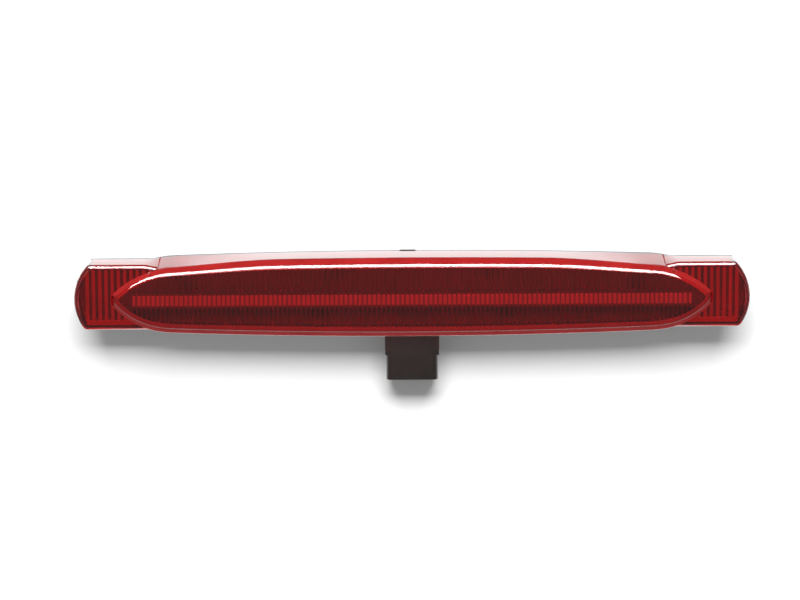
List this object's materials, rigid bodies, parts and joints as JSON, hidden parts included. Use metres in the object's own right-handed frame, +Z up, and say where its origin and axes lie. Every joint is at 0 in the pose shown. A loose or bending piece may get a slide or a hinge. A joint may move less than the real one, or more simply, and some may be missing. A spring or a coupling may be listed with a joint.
{
  "type": "third brake light",
  "caption": "Long slim centre brake light: red domed lens with fluted ends over a row of light-emitting diodes, black rear housing with studs, and a socket hanging below.",
  "frame": {"origin": "middle of the mounting plane (rear face of the foam gasket), halfway between the two studs", "axes": "+X along the lamp to the viewer's right, lens faces -Y, studs point +Y, +Z up"},
  "size_m": [0.3605, 0.0578, 0.0723],
  "materials": {
    "lens_red": "clear red moulded acrylic, polished",
    "housing_black": "fine moulded grain",
    "connector_black": "warm black nylon",
    "bezel_black": "satin",
    "reflector_bright": "metallised",
    "board_green": "solder mask",
    "diode_epoxy": "tinted epoxy",
    "component_tan": "satin",
    "component_black": "satin",
    "component_blue": "satin",
    "adhesive": "cured bead",
    "foam_gasket": "closed-cell foam",
    "seal_rubber": "smooth",
    "strip_milky": "milky acrylic",
    "black_steel": "black oxide",
    "zinc_steel": "zinc plated",
    "yellow_zinc": "yellow zinc plated",
    "brass_blade": "tinned brass"
  },
  "bodies": {
    "lamp_body": {"outer_lens": "lens_red", "lens_bond_bead": "adhesive", "rear_housing": "housing_black", "rear_gasket": "foam_gasket", "mounting_studs": "yellow_zinc", "vent_cap": "seal_rubber", "circuit_board": "board_green", "lamps": "diode_epoxy", "resistors": "component_tan", "polarity_diode": "component_black", "surge_suppressor": "component_blue", "board_screws": "black_steel", "bezel": "bezel_black", "bezel_screws": "black_steel", "led_reflector": "reflector_bright", "strip_lens": "strip_milky", "connector_bracket": "connector_black", "bracket_screws": "zinc_steel", "connector_socket": "connector_black", "socket_seal": "seal_rubber", "terminals": "brass_blade", "latch_pin": "zinc_steel"},
    "left_washer": {"washer_left": "zinc_steel"},
    "right_washer": {"washer_right": "zinc_steel"},
    "left_nut": {"nut_left": "yellow_zinc"},
    "right_nut": {"nut_right": "yellow_zinc"},
    "latch": {"socket_latch": "connector_black"}
  },
  "joints": [
    {"name": "left_nut_travel", "type": "slide", "parent": "lamp_body", "child": "left_washer", "axis": [0, 1, 0], "range_m": [0, 0.0112]},
    {"name": "left_nut_spin", "type": "hinge", "parent": "left_washer", "child": "left_nut", "pos_m": [-0.11, 0.005, 0], "axis": [0, 1, 0], "range_deg": [0, 5041]},
    {"name": "right_nut_travel", "type": "slide", "parent": "lamp_body", "child": "right_washer", "axis": [0, 1, 0], "range_m": [0, 0.0112]},
    {"name": "right_nut_spin", "type": "hinge", "parent": "right_washer", "child": "right_nut", "pos_m": [0.11, 0.005, 0], "axis": [0, 1, 0], "range_deg": [0, 5041]},
    {"name": "socket_latch_rock", "type": "hinge", "parent": "lamp_body", "child": "latch", "pos_m": [0, 0.019, -0.0235], "axis": [1, 0, 0], "range_deg": [0, 10], "stiffness_Nm_per_rad": 0.08, "springref_deg": -5.73}
  ],
  "couplings": [
    {"joint": "left_nut_spin", "follows": "left_nut_travel", "rad_per_m": 7854},
    {"joint": "right_nut_spin", "follows": "right_nut_travel", "rad_per_m": 7854}
  ]
}
